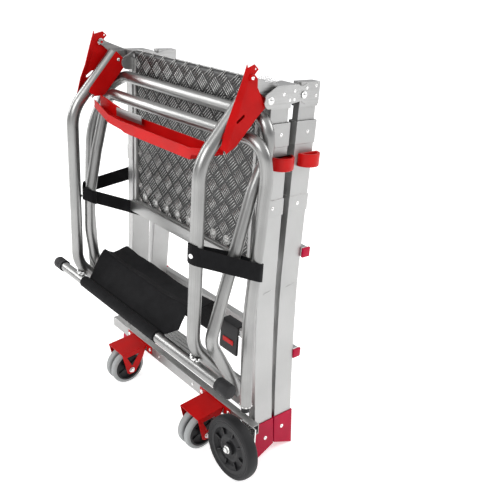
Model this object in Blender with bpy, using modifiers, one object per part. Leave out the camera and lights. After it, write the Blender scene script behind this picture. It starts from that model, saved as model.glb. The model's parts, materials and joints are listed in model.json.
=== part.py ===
"""Folding work platform on wheels: a telescopic aluminium step ladder with a tread plate
platform, a tubular guard rail with a tool tray, two twin castors and one transport wheel.
Metres, +Z up. The climbing side faces -Y, the origin is on the floor in the ladder's middle."""

import math

import bmesh
import bpy
from mathutils import Matrix, Vector

# Driving dimensions
GAP = 0.0003

STILE_OUT = 0.347            # outer face of the lower stiles, from the middle plane
STILE_WIDTH = 0.029          # along X
STILE_DEPTH = 0.070          # along Y
STILE_WALL = 0.0025
STILE_TOP = 1.0405
STILE_FOOT = 0.0455
FLARE_START = 0.60           # the lower stiles bend outwards below this height
FLARE_AT_FLOOR = 0.046
FLARE_POWER = 1.5
INNER_BOTTOM = 0.62
INNER_TOP = 1.136
INNER_SIDE_PLAY = 0.0010

FRONT_Y = -0.070             # front face of the front stiles
REAR_Y = 0.031               # front face of the rear stiles, before they lean in
REAR_LEAN = math.radians(1.1)
HINGE = (0.021, 1.122)       # y and z of the hinge between the two ladder sections

RAIL_PIVOT = (-0.158, 1.174)  # y and z of the axis that the guard rail swings on
LUG = (-0.093, 1.115)
LUG_RADIUS = 0.022
EAR_IN = 0.3055              # inner face of the inner ear
EAR_OUT = 0.3695             # outer face of the outer ear
EAR_THICKNESS = 0.003

POST_X = 0.331
POST_RADIUS = 0.0185
RAIL_RADIUS = 0.0175
CROSS_RADIUS = 0.0165
CROSS_YZ = (-0.2755, 0.3940)
CROSS_HALF = 0.475

PLATFORM_HALF = 0.3045
PLATFORM_TOP = 1.152
PLATFORM_BOTTOM = 0.612
PLATFORM_HINGE = (-0.059, 1.141)

BAR_Y = (-0.102, -0.0765)
BAR_Z = (0.112, 0.148)
BAR_X = (-0.412, 0.405)

CASTOR_X = 0.222
CASTOR_Y = -0.167
CASTOR_RADIUS = 0.0625
WHEEL_X = 0.393
WHEEL_FRONT_Y = -0.189
WHEEL_WIDTH = 0.040
WHEEL_RADIUS = 0.100

AXIS_X = (0, math.pi / 2, 0)
AXIS_Y = (-math.pi / 2, 0, 0)

for old in list(bpy.data.objects):
    bpy.data.objects.remove(old)

parts = bpy.data.collections.new("folding_work_platform")
cutters = bpy.data.collections.new("cutters")
for group in (parts, cutters):
    bpy.context.scene.collection.children.link(group)


# Materials

def metal_or_plastic(name, color, metallic, roughness):
    made = bpy.data.materials.new(name)
    made.use_nodes = True
    shader = made.node_tree.nodes["Principled BSDF"]
    shader.inputs["Base Color"].default_value = (*color, 1)
    shader.inputs["Metallic"].default_value = metallic
    shader.inputs["Roughness"].default_value = roughness
    return made


ALUMINIUM = metal_or_plastic("mill_aluminium", (0.60, 0.61, 0.61), 0.9, 0.42)
TUBE_METAL = metal_or_plastic("tube_aluminium", (0.66, 0.67, 0.66), 1.0, 0.28)
TREAD = metal_or_plastic("tread_plate", (0.42, 0.43, 0.43), 0.9, 0.35)
ZINC = metal_or_plastic("bright_zinc", (0.74, 0.74, 0.73), 1.0, 0.25)
RED_STEEL = metal_or_plastic("red_painted_steel", (0.62, 0.03, 0.02), 0.1, 0.35)
RED_PLASTIC = metal_or_plastic("red_plastic", (0.66, 0.02, 0.05), 0.0, 0.45)
BLACK_RUBBER = metal_or_plastic("black_rubber", (0.03, 0.03, 0.03), 0.0, 0.7)
GREY_RUBBER = metal_or_plastic("grey_rubber", (0.36, 0.37, 0.37), 0.0, 0.6)
BLACK_PLASTIC = metal_or_plastic("black_plastic", (0.02, 0.02, 0.02), 0.0, 0.5)
FABRIC = metal_or_plastic("black_fabric", (0.02, 0.02, 0.02), 0.0, 0.95)
WEBBING = metal_or_plastic("black_webbing", (0.02, 0.02, 0.02), 0.0, 0.9)


# Makers

def link(name, data, material, group=parts):
    obj = bpy.data.objects.new(name, data)
    group.objects.link(obj)
    if material:
        data.materials.append(material)
    return obj


def as_cutter(obj):
    parts.objects.unlink(obj)
    cutters.objects.link(obj)
    obj.hide_render = True
    obj.display_type = "WIRE"
    return obj


def from_bmesh(name, bm, material, recalculate=True):
    if recalculate:
        bmesh.ops.recalc_face_normals(bm, faces=bm.faces)
    mesh = bpy.data.meshes.new(name)
    bm.to_mesh(mesh)
    bm.free()
    return link(name, mesh, material)


def box_into(bm, x, y, z):
    size = Vector((x[1] - x[0], y[1] - y[0], z[1] - z[0]))
    middle = Vector((x[0] + x[1], y[0] + y[1], z[0] + z[1])) / 2
    place = Matrix.Translation(middle) @ Matrix.Diagonal((*size, 1))
    return bmesh.ops.create_cube(bm, size=1, matrix=place)["verts"]


def box(name, x, y, z, material):
    bm = bmesh.new()
    box_into(bm, x, y, z)
    return from_bmesh(name, bm, material)


def rod_into(bm, middle, turn, radius, length, segments=20, end_radius=None):
    place = Matrix.Translation(middle)
    for angle, letter in zip(turn, "XYZ"):
        place = place @ Matrix.Rotation(angle, 4, letter)
    bmesh.ops.create_cone(
        bm, cap_ends=True, segments=segments, radius1=radius,
        radius2=radius if end_radius is None else end_radius, depth=length, matrix=place,
    )


def rod(name, middle, turn, radius, length, material, segments=20):
    bm = bmesh.new()
    rod_into(bm, middle, turn, radius, length, segments)
    return from_bmesh(name, bm, material)


def solidify(obj, thickness, offset=-1):
    shell = obj.modifiers.new("Solidify", "SOLIDIFY")
    shell.thickness = thickness
    shell.offset = offset
    shell.use_even_offset = True
    return obj


def cut(obj, *tools):
    for tool in tools:
        step = obj.modifiers.new("Cut", "BOOLEAN")
        step.operation = "DIFFERENCE"
        step.object = tool
    return obj


def add(obj, *tools):
    for tool in tools:
        step = obj.modifiers.new("Join", "BOOLEAN")
        step.operation = "UNION"
        step.object = tool
    return obj


def hole(middle, turn, radius, length, segments=20):
    return as_cutter(rod("hole", middle, turn, radius, length, None, segments))


def flare(z):
    if z >= FLARE_START:
        return 0.0
    return FLARE_AT_FLOOR * ((FLARE_START - z) / FLARE_START) ** FLARE_POWER


def box_section(name, side, x, y, z, wall, material, levels=(), floor=None, floor_tilt=0.0):
    """An upright box section whose walls follow the flare. With floor it is a cup, whose
    bottom rises by floor_tilt towards +Y, or towards -Y where that is negative."""
    bm = bmesh.new()
    box_into(bm, x, y, z)
    for level in levels:
        everything = list(bm.verts) + list(bm.edges) + list(bm.faces)
        bmesh.ops.bisect_plane(bm, geom=everything, plane_co=(0, 0, level), plane_no=(0, 0, 1))
    ends = [f for f in bm.faces if abs(f.normal.z) > 0.9 and (floor is None or f.normal.z > 0)]
    bmesh.ops.delete(bm, geom=ends, context="FACES_ONLY")
    bmesh.ops.recalc_face_normals(bm, faces=bm.faces)
    for vert in bm.verts:
        if floor is not None and abs(vert.co.z - z[0]) < 1e-5:
            share = (vert.co.y - y[0]) / (y[1] - y[0])
            vert.co.z += abs(floor_tilt) * (share if floor_tilt > 0 else 1 - share)
        vert.co.x = side * (vert.co.x + flare(vert.co.z))
    obj = from_bmesh(name, bm, material, recalculate=False)
    if side < 0:
        for polygon in obj.data.polygons:
            polygon.flip()
    return solidify(obj, wall)


def rounded_route(points, radii, steps=7):
    """The route through the points, with each inner corner rounded by an arc."""
    route = [Vector(points[0])]
    for before, corner, after, radius in zip(points, points[1:], points[2:], radii):
        before, corner, after = Vector(before), Vector(corner), Vector(after)
        back = (before - corner).normalized()
        ahead = (after - corner).normalized()
        half = back.angle(ahead) / 2
        reach = radius / math.tan(half)
        centre = corner + (back + ahead).normalized() * radius / math.sin(half)
        start = corner + back * reach - centre
        sweep = start.rotation_difference(corner + ahead * reach - centre)
        for step in range(steps + 1):
            turn = sweep.copy()
            turn.angle = sweep.angle * step / steps
            route.append(centre + turn @ start)
    route.append(Vector(points[-1]))
    return route


def tube(name, route, radius, material, sides=3):
    curve = bpy.data.curves.new(name, "CURVE")
    curve.dimensions = "3D"
    curve.bevel_depth = radius
    curve.bevel_resolution = sides
    curve.use_fill_caps = True
    spline = curve.splines.new("POLY")
    spline.points.add(len(route) - 1)
    for point, place in zip(spline.points, route):
        point.co = (*place, 1)
    return link(name, curve, material)


def as_mesh(obj):
    """The mesh of a curve object, its caps welded, in place of the curve."""
    bpy.context.view_layer.update()
    graph = bpy.context.evaluated_depsgraph_get()
    mesh = bpy.data.meshes.new_from_object(obj.evaluated_get(graph))
    bm = bmesh.new()
    bm.from_mesh(mesh)
    bmesh.ops.remove_doubles(bm, verts=bm.verts, dist=1e-5)
    bmesh.ops.recalc_face_normals(bm, faces=bm.faces)
    bm.to_mesh(mesh)
    bm.free()
    name = obj.name
    place = obj.matrix_world.copy()
    bpy.data.objects.remove(obj)
    made = link(name, mesh, None)
    made.matrix_world = place
    return made


def plate_yz(name, outlines, x, material):
    """A flat plate in the YZ plane between the two x values, from its outline and holes."""
    curve = bpy.data.curves.new(name, "CURVE")
    curve.dimensions = "2D"
    curve.fill_mode = "BOTH"
    curve.extrude = abs(x[1] - x[0]) / 2
    for outline in outlines:
        spline = curve.splines.new("POLY")
        spline.points.add(len(outline) - 1)
        spline.use_cyclic_u = True
        for point, (across, up) in zip(spline.points, outline):
            point.co = (across, up, 0, 1)
    obj = link(name, curve, material)
    obj.matrix_world = Matrix(((0, 0, 1, (x[0] + x[1]) / 2), (1, 0, 0, 0), (0, 1, 0, 0), (0, 0, 0, 1)))
    return as_mesh(obj)


def plate_xy(name, outlines, z, material):
    """A flat plate in the XY plane between the two z values, from its outline and holes."""
    curve = bpy.data.curves.new(name, "CURVE")
    curve.dimensions = "2D"
    curve.fill_mode = "BOTH"
    curve.extrude = (z[1] - z[0]) / 2
    for outline in outlines:
        spline = curve.splines.new("POLY")
        spline.points.add(len(outline) - 1)
        spline.use_cyclic_u = True
        for point, (across, along) in zip(spline.points, outline):
            point.co = (across, along, 0, 1)
    obj = link(name, curve, material)
    obj.location.z = (z[0] + z[1]) / 2
    return as_mesh(obj)


def arc(centre, radius, start, end, steps=10):
    """Points of an arc, its angles in degrees from the first axis towards the second."""
    points = []
    for step in range(steps + 1):
        angle = math.radians(start + (end - start) * step / steps)
        points.append((centre[0] + radius * math.cos(angle), centre[1] + radius * math.sin(angle)))
    return points


def turned(name, profile, middle, turn, material, steps=40):
    """A closed ring or disc turned from a profile of (radius, along) points."""
    bm = bmesh.new()
    verts = [bm.verts.new((radius, 0, along)) for radius, along in profile]
    for one, two in zip(verts, verts[1:] + verts[:1]):
        bm.edges.new((one, two))
    bmesh.ops.spin(
        bm, geom=list(bm.verts) + list(bm.edges), cent=(0, 0, 0), axis=(0, 0, 1),
        angle=math.tau, steps=steps, use_merge=True,
    )
    bmesh.ops.remove_doubles(bm, verts=bm.verts, dist=1e-6)
    place = Matrix.Translation(middle)
    for angle, letter in zip(turn, "XYZ"):
        place = place @ Matrix.Rotation(angle, 4, letter)
    bmesh.ops.transform(bm, matrix=place, verts=bm.verts)
    return from_bmesh(name, bm, material)


def mirrored(obj, name):
    """The same piece on the other side of the middle plane."""
    bpy.context.view_layer.update()
    graph = bpy.context.evaluated_depsgraph_get()
    mesh = bpy.data.meshes.new_from_object(obj.evaluated_get(graph))
    mesh.transform(Matrix.Diagonal((-1, 1, 1, 1)) @ obj.matrix_world)
    mesh.flip_normals()
    return link(name, mesh, None)


def pivot(name, place, parent=None):
    empty = bpy.data.objects.new(name, None)
    parts.objects.link(empty)
    empty.location = place
    bpy.context.view_layer.update()
    if parent:
        attach(parent, empty)
    return empty


def attach(parent, *children):
    """Parents the children where they stand, and with each one the shapes that its Booleans use."""
    bpy.context.view_layer.update()
    for child in children:
        for modifier in child.modifiers:
            if modifier.type == "BOOLEAN":
                attach(parent, modifier.object)
        place = child.matrix_world.copy()
        child.parent = parent
        child.matrix_parent_inverse = parent.matrix_world.inverted()
        child.matrix_world = place


SIDES = (("left", -1), ("right", 1))

front_slide = pivot("front_slide", (0, 0, INNER_BOTTOM))
rear_hinge = pivot("rear_hinge", (0, *HINGE), front_slide)
rear_slide = pivot("rear_slide", (0, REAR_Y, INNER_BOTTOM), rear_hinge)
rail_pivot = pivot("rail_pivot", (0, *RAIL_PIVOT), front_slide)
platform_hinge = pivot("platform_hinge", (0, *PLATFORM_HINGE), front_slide)


# Stiles, boots and collars of the two ladder sections

STILE_X = (STILE_OUT - STILE_WIDTH, STILE_OUT)
FLARE_LEVELS = [0.12 + 0.08 * step for step in range(7)]
INNER_X = (STILE_X[0] + STILE_WALL + INNER_SIDE_PLAY, STILE_X[1] - STILE_WALL - INNER_SIDE_PLAY)
BOOT_WALL = 0.0035
BOOT_TOP = 0.122
BOOT_TILT = 0.030
BOOT_FLOOR = 0.0
REAR_BOOT_FLOOR = 0.0014
COLLAR_WALL = 0.0022
UPPER_COLLAR = (0.985, 1.048)
LOWER_COLLAR = (0.790, 0.838)


def boot(name, side, y, floor_z, tilt, level):
    grow = BOOT_WALL + GAP
    return box_section(
        name, side, (STILE_X[0] - grow, STILE_X[1] + grow), (y[0] - grow, y[1] + grow),
        (floor_z, BOOT_TOP), BOOT_WALL, RED_PLASTIC, levels=(level,), floor=True, floor_tilt=tilt,
    )


def collar(side, y, z):
    """A band riveted round the stile, sunk a little into its wall so that the two are one solid."""
    return as_cutter(box_section(
        "collar", side, (STILE_X[0] - COLLAR_WALL, STILE_X[1] + COLLAR_WALL),
        (y[0] - COLLAR_WALL, y[1] + COLLAR_WALL), z, COLLAR_WALL + 0.0005, ALUMINIUM,
    ))


for section, face in (("front", FRONT_Y), ("rear", REAR_Y)):
    stile_y = (face, face + STILE_DEPTH)
    inner_y = (stile_y[0] + STILE_WALL + 0.001, stile_y[1] - STILE_WALL - 0.001)
    floor_z = BOOT_FLOOR if section == "front" else REAR_BOOT_FLOOR
    tilt = BOOT_TILT if section == "front" else -BOOT_TILT
    for side_name, side in SIDES:
        outer = box_section(
            f"{section}_outer_stile_{side_name}", side, STILE_X, stile_y, (STILE_FOOT, STILE_TOP),
            STILE_WALL, ALUMINIUM, levels=FLARE_LEVELS,
        )
        inner = box_section(
            f"{section}_inner_stile_{side_name}", side, INNER_X, inner_y, (INNER_BOTTOM, INNER_TOP),
            STILE_WALL, ALUMINIUM,
        )
        add(outer, collar(side, stile_y, UPPER_COLLAR), collar(side, stile_y, LOWER_COLLAR))
        foot = boot(f"{section}_boot_{side_name}", side, stile_y, floor_z, tilt, 0.05)
        if section == "rear":
            attach(rear_slide, outer, foot)
            attach(rear_hinge, inner)
        else:
            attach(front_slide, inner)


# Rungs, the ribbed bottom step and the bar that carries the wheels

RUNG = 0.028


def rung(name, z, y, reach, material=ALUMINIUM):
    obj = box(name, (-reach, reach), (y, y + RUNG), (z - RUNG / 2, z + RUNG / 2), material)
    edge = obj.modifiers.new("Bevel", "BEVEL")
    edge.width = 0.003
    edge.segments = 1
    return obj


rung("front_rung", 0.385, -0.050, STILE_X[0] + flare(0.40) - GAP)

REAR_RUNG_Y = REAR_Y + STILE_DEPTH + GAP
for name, z, reach in (("rear_lower_rung", 0.317, 0.359), ("rear_upper_rung", 0.655, 0.349)):
    attach(rear_slide, rung(name, z, REAR_RUNG_Y, reach))

STEP_REACH = STILE_X[0] + flare(0.196) - 0.0015
STEP_Z = (0.151, 0.193)
step = box("bottom_step", (-STEP_REACH, STEP_REACH), (-0.0685, -0.002), STEP_Z, ALUMINIUM)
bm = bmesh.new()
for number in range(5):
    y = -0.0655 + number * 0.0135
    box_into(bm, (-0.4, 0.4), (y, y + 0.006), (STEP_Z[1] - 0.003, STEP_Z[1] + 0.01))
cut(step, as_cutter(from_bmesh("grooves", bm, None)))

bar = box("base_bar", BAR_X, BAR_Y, BAR_Z, ALUMINIUM)
cut(bar, as_cutter(box("bar_bore", (-1, 1), (BAR_Y[0] + 0.003, BAR_Y[1] - 0.003),
                       (BAR_Z[0] + 0.003, BAR_Z[1] - 0.003), None)))


# Castors: a folded steel fork with its riveted axle, a hub and two tyres on each side

FORK_HALF = 0.047
FORK_SHEET = 0.0025
FLANGE_HALF = 0.078
AXLE_RADIUS = 0.005


def castor_fork(name, middle):
    back = BAR_Y[0] - GAP - FORK_SHEET / 2
    fold = 0.1425
    front = -0.205
    front_z = 0.1330
    bm = bmesh.new()
    flange = [bm.verts.new((middle + x, back, z)) for x, z in (
        (-FLANGE_HALF, 0.119), (-FORK_HALF, 0.119), (-FORK_HALF, fold), (FORK_HALF, fold),
        (FORK_HALF, 0.119), (FLANGE_HALF, 0.119), (FLANGE_HALF, 0.147), (-FLANGE_HALF, 0.147))]
    bm.faces.new(flange)
    near = [bm.verts.new((middle + x, front, front_z)) for x in (-FORK_HALF, FORK_HALF)]
    bm.faces.new((flange[2], flange[3], near[1], near[0]))
    for corner, front_corner, x in ((flange[2], near[0], -FORK_HALF), (flange[3], near[1], FORK_HALF)):
        low = [bm.verts.new((middle + x, y, z)) for y, z in (
            (-0.122, 0.098), (-0.150, 0.052), (-0.158, 0.047), (-0.176, 0.047), (-0.184, 0.052))]
        bm.faces.new([corner, *low, front_corner])
    bmesh.ops.recalc_face_normals(bm, faces=bm.faces)
    obj = solidify(from_bmesh(name, bm, RED_STEEL), FORK_SHEET, 0)
    window = plate_yz("window", [[(-0.186, 0.118), (-0.136, 0.122), (-0.165, 0.076)]],
                      (middle - 0.08, middle + 0.08), None)
    axle = as_cutter(rod("axle", (middle, CASTOR_Y, CASTOR_RADIUS), AXIS_X, AXLE_RADIUS, 0.102, None, 12))
    return add(cut(obj, as_cutter(window)), axle)


TYRE = [(0.0500, -0.011), (0.0500, 0.011), (0.0580, 0.011), (0.0612, 0.0085), (0.0625, 0.004),
        (0.0625, -0.004), (0.0612, -0.0085), (0.0580, -0.011)]
HUB = [(AXLE_RADIUS + GAP, -0.030), (0.014, -0.030), (0.016, -0.020), (0.040, -0.018), (0.043, -0.029),
       (0.0497, -0.029), (0.0497, 0.029), (0.043, 0.029), (0.040, 0.018), (0.016, 0.020),
       (0.014, 0.030), (AXLE_RADIUS + GAP, 0.030)]
for side_name, side in SIDES:
    middle = side * CASTOR_X
    castor_fork(f"castor_fork_{side_name}", middle)
    centre = (middle, CASTOR_Y, CASTOR_RADIUS)
    turning = pivot(f"castor_axis_{side_name}", centre)
    attach(turning, turned(f"castor_hub_{side_name}", HUB, centre, AXIS_X, BLACK_PLASTIC))
    for number, x in ((1, -0.0165), (2, 0.0165)):
        place = (middle + x, CASTOR_Y, CASTOR_RADIUS)
        attach(turning, turned(f"castor_tyre_{side_name}_{number}", TYRE, place, AXIS_X, GREY_RUBBER))


# The transport wheel at the right-hand end of the bar, on an axle along Y

wheel_centre = (WHEEL_X, WHEEL_FRONT_Y + WHEEL_WIDTH / 2, WHEEL_RADIUS)
bracket_front = BAR_Y[0] - GAP - 0.005
box("wheel_bracket", (WHEEL_X - 0.032, WHEEL_X + 0.028), (bracket_front, BAR_Y[0] - GAP),
    (WHEEL_RADIUS - 0.020, BAR_Z[1] + 0.002), ZINC)
rod("wheel_axle", (WHEEL_X, (bracket_front - GAP + WHEEL_FRONT_Y - 0.004) / 2, WHEEL_RADIUS), AXIS_Y, 0.006,
    bracket_front - GAP - WHEEL_FRONT_Y + 0.004, ZINC, 16)
half = WHEEL_WIDTH / 2
turning = pivot("wheel_axis", wheel_centre)
attach(
    turning,
    turned("wheel_tyre", [(0.0800, -half + 0.002), (0.0800, half - 0.002), (0.090, half), (0.0965, half - 0.003),
                          (0.0995, half - 0.009), (0.100, 0.0), (0.0995, -half + 0.009),
                          (0.0965, -half + 0.003), (0.090, -half)],
           wheel_centre, AXIS_Y, BLACK_RUBBER, 48),
    turned("wheel_hub", [(0.0063, -half), (0.018, -half), (0.020, -0.010), (0.060, -0.007), (0.068, -half + 0.003),
                         (0.0797, -half + 0.003), (0.0797, half - 0.003), (0.068, half - 0.003),
                         (0.060, 0.007), (0.020, 0.010), (0.018, half), (0.0063, half)],
           wheel_centre, AXIS_Y, BLACK_PLASTIC, 48),
)


# Top brackets: the front ones carry the hinge, the lugs and the arms of the guard rail

def front_bracket(name):
    top = 1.150
    low = 1.094
    ear = [(HINGE[0], HINGE[1] - 0.014), *arc(HINGE, 0.014, -60, 60, 8), (0.0, top), (-0.072, top),
           *arc(LUG, LUG_RADIUS, 110, 250, 10), (-0.072, low)]
    arm = [(-0.020, 1.104), (-0.020, top), (-0.072, top), *arc(RAIL_PIVOT, 0.0115, 55, 230, 10), (-0.080, 1.104)]
    body = box(name, (STILE_X[0] - 0.0003, STILE_X[1] + 0.0003), (FRONT_Y + 0.0005, -0.0005), (1.0853, top), ALUMINIUM)
    pocket = box("pocket", (INNER_X[0] - GAP, INNER_X[1] + GAP), (FRONT_Y + 0.0032, -0.0032),
                 (1.0, INNER_TOP + GAP), None)
    web = box("web", (EAR_IN, EAR_OUT), (FRONT_Y - 0.002, 0.0), (top - 0.004, top), None)
    inner = plate_yz("ear_in", [ear], (EAR_IN, EAR_IN + EAR_THICKNESS), None)
    outer = plate_yz("ear_out", [ear], (EAR_OUT - EAR_THICKNESS, EAR_OUT), None)
    reach = plate_yz("arm", [arm], (0.3526, 0.3556), None)
    add(body, *(as_cutter(piece) for piece in (web, inner, outer, reach)))
    middle = (EAR_IN + EAR_OUT) / 2
    return cut(body, as_cutter(pocket), hole((middle, *HINGE), AXIS_X, 0.0043, 0.1, 16),
               hole((0.3541, *RAIL_PIVOT), AXIS_X, 0.0043, 0.02, 16))


def rear_bracket(name):
    top = 1.150
    low = 1.092
    back = REAR_Y + STILE_DEPTH - 0.0005
    ear = [*arc(HINGE, 0.014, 90, 270, 10), (REAR_Y + 0.02, low), (back, low), (back, top - 0.003),
           (REAR_Y + 0.02, top - 0.003)]
    body = box(name, (STILE_X[0] - 0.0003, STILE_X[1] + 0.0003), (REAR_Y + 0.0005, back), (1.0853, top), ALUMINIUM)
    pocket = box("pocket", (INNER_X[0] - GAP, INNER_X[1] + GAP), (REAR_Y + 0.0032, back - 0.0027),
                 (1.0, INNER_TOP + GAP), None)
    inner = plate_yz("ear_in", [ear], (0.3155, 0.3185), None)
    outer = plate_yz("ear_out", [ear], (0.3465, 0.3495), None)
    add(body, *(as_cutter(piece) for piece in (inner, outer)))
    return cut(body, as_cutter(pocket), hole((0.3325, *HINGE), AXIS_X, 0.0043, 0.06, 16))


for maker, name, parent in ((front_bracket, "front_bracket", front_slide),
                            (rear_bracket, "rear_bracket", rear_hinge)):
    right = maker(f"{name}_right")
    left = mirrored(right, f"{name}_left")
    attach(parent, right, left)

for side_name, side in SIDES:
    middle = side * (EAR_IN + EAR_OUT) / 2
    pin = rod(f"hinge_pin_{side_name}", (middle, *HINGE), AXIS_X, 0.004, EAR_OUT - EAR_IN + 0.004, ZINC, 12)
    attach(rear_hinge, pin)


# Platform: tread plate in a frame, hung between the front stiles

FRAME_FRONT = -0.0720
FRAME_BACK = -0.0480
PLATE_FRONT = -0.0600
PLATE_BACK = -0.0560
SIDE_RAIL = 0.012
HEAD_RADIUS = 0.011

bm = bmesh.new()
box_into(bm, (-PLATFORM_HALF, PLATFORM_HALF), (FRAME_FRONT, FRAME_BACK),
         (PLATFORM_BOTTOM, PLATFORM_TOP - HEAD_RADIUS))
frame = from_bmesh("platform_frame", bm, ALUMINIUM)
opening = box("opening", (-PLATFORM_HALF + SIDE_RAIL, PLATFORM_HALF - SIDE_RAIL), (-0.2, 0.2),
              (PLATFORM_BOTTOM + 0.040, PLATFORM_TOP - 2 * HEAD_RADIUS - 0.008), None)
rebate = box("rebate", (-PLATFORM_HALF + 0.004, PLATFORM_HALF - 0.004), (PLATE_FRONT - GAP, PLATE_BACK + GAP),
             (PLATFORM_BOTTOM + 0.020, PLATFORM_TOP - 2 * HEAD_RADIUS - 0.001), None)
head = rod("head", (0, *PLATFORM_HINGE), AXIS_X, HEAD_RADIUS, 2 * PLATFORM_HALF, None, 20)
lip = box("lip", (-PLATFORM_HALF - 0.0075, PLATFORM_HALF + 0.0075), (FRAME_FRONT - 0.012, FRAME_FRONT + 0.004),
          (PLATFORM_BOTTOM, PLATFORM_BOTTOM + 0.038), None)
add(frame, as_cutter(lip))
cut(frame, as_cutter(opening), as_cutter(rebate))
add(frame, as_cutter(head))
cut(frame, hole((0, *PLATFORM_HINGE), AXIS_X, 0.0043, 1.0, 16))
plate = box("tread_plate", (-PLATFORM_HALF + 0.004 + GAP, PLATFORM_HALF - 0.004 - GAP), (PLATE_FRONT, PLATE_BACK),
            (PLATFORM_BOTTOM + 0.020 + GAP, PLATFORM_TOP - 2 * HEAD_RADIUS - 0.001 - GAP), TREAD)
attach(platform_hinge, frame, plate)
hinge_rod = rod("platform_hinge_rod", (0, *PLATFORM_HINGE), AXIS_X, 0.004, 2 * (EAR_IN - GAP), ZINC, 12)
attach(front_slide, hinge_rod)


# Guard rail: two posts, the cross tube with its caps, and two bent rails

POST_FOOT = (-0.172, 0.331)
POST_TOP = (-0.1290, 1.1430)
POST_CORNERS = ((-0.281, 0.455), (-0.279, 0.972))
for side_name, side in SIDES:
    points = [(side * POST_X, *yz) for yz in (POST_FOOT, *POST_CORNERS, POST_TOP)]
    route = rounded_route(points, (0.10, 0.13))
    attach(rail_pivot, tube(f"rail_post_{side_name}", route, POST_RADIUS, TUBE_METAL))

cross = rod("cross_tube", (0, *CROSS_YZ), AXIS_X, CROSS_RADIUS, 2 * CROSS_HALF, TUBE_METAL, 20)
attach(rail_pivot, cross)
for side_name, side in SIDES:
    outside = (side * (CROSS_HALF - 0.0085), *CROSS_YZ)
    cap = rod(f"cross_tube_cap_{side_name}", outside, AXIS_X, CROSS_RADIUS + 0.0035, 0.050, BLACK_RUBBER)
    inside = hole((side * (CROSS_HALF - 0.05), *CROSS_YZ), AXIS_X, CROSS_RADIUS + GAP, 0.1 + 2 * GAP)
    attach(rail_pivot, cut(cap, inside))

UPPER_RAIL = [(-0.368, -0.198, 0.400), (-0.368, -0.210, 0.620), (-0.368, -0.196, 0.900), (-0.362, -0.135, 1.034),
              (-0.318, -0.0975, 1.072), (0.0, -0.0975, 1.0715), (0.366, -0.0960, 1.0715), (0.3680, -0.0890, 0.985),
              (0.3640, -0.1300, 0.885), (0.363, -0.2160, 0.585), (0.3690, -0.2520, 0.475), (0.3690, -0.1310, 0.262)]
UPPER_BENDS = (0.3, 0.3, 0.09, 0.05, 0.5, 0.050, 0.12, 0.4, 0.4, 0.06)
LOWER_RAIL = [(-0.3200, -0.2010, 0.419), (-0.3200, -0.2230, 0.470), (-0.3200, -0.2370, 0.570), (-0.3200, -0.2340, 0.690),
              (-0.3220, -0.2030, 0.840), (-0.3240, -0.1560, 1.022), (0.0, -0.1550, 1.0220), (0.400, -0.1350, 1.0200),
              (0.4010, -0.1180, 0.930), (0.4050, -0.1500, 0.520), (0.4070, -0.1400, 0.245)]
LOWER_BENDS = (0.15, 0.3, 0.3, 0.4, 0.045, 0.9, 0.055, 0.2, 0.8)
attach(
    rail_pivot,
    tube("upper_rail", rounded_route(UPPER_RAIL, UPPER_BENDS, 5), RAIL_RADIUS, TUBE_METAL),
    tube("lower_rail", rounded_route(LOWER_RAIL, LOWER_BENDS, 5), RAIL_RADIUS, TUBE_METAL),
)


# Red sheet steel of the guard rail: clamps round the post ends, hook plates and the bridge

CLAMP_ALONG = (Vector(POST_TOP) - Vector(POST_CORNERS[1])).normalized()
CLAMP_BACK = Vector((CLAMP_ALONG.y, -CLAMP_ALONG.x))
CLAMP_START = Vector(POST_TOP)
SHEET = 0.002


def on_clamp(along, back):
    point = CLAMP_START + CLAMP_ALONG * along + CLAMP_BACK * back
    return (point.x, point.y)


def clamp(name):
    web_back = POST_RADIUS + 0.0006
    cheek = [on_clamp(-0.150, -0.002), on_clamp(-0.138, -0.006), on_clamp(0.004, -0.006), on_clamp(0.004, 0.040),
             on_clamp(-0.012, 0.047), on_clamp(-0.125, 0.047), on_clamp(-0.150, 0.022)]
    spaces = ((-0.2, 0.02, -0.03, web_back), (-0.2, 0.02, web_back + SHEET, 0.07), (-0.2, -0.122, -0.04, 0.08))
    inside = POST_X - POST_RADIUS - GAP
    outside = POST_X + POST_RADIUS + GAP
    obj = plate_yz(name, [cheek], (inside - SHEET, outside + SHEET), RED_STEEL)
    for start, end, front, back in spaces:
        corners = [on_clamp(start, front), on_clamp(end, front), on_clamp(end, back), on_clamp(start, back)]
        cut(obj, as_cutter(plate_yz("space", [corners], (inside, outside), None)))
    return obj


HOOK_X = 0.3620
FOLD = [(-0.1690, 1.1975), (-0.1690, 1.159), (-0.1870, 1.105), (-0.2070, 1.057), (-0.2245, 1.000)]
LIP = [(0.3592, -0.1700, 1.2065), (0.3568, -0.1822, 1.163), (0.3530, -0.2020, 1.107), (0.3540, -0.2187, 1.068),
       (0.3540, -0.2357, 1.007)]
HOOK_BACK = [(-0.2235, 0.9945), (-0.192, 1.012), (-0.155, 1.050), (-0.132, 1.0745), (-0.1045, 1.098),
             (-0.135, 1.150), (-0.136, 1.171), (-0.147, 1.181), (-0.135, 1.193), (-0.149, 1.205)]


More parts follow.
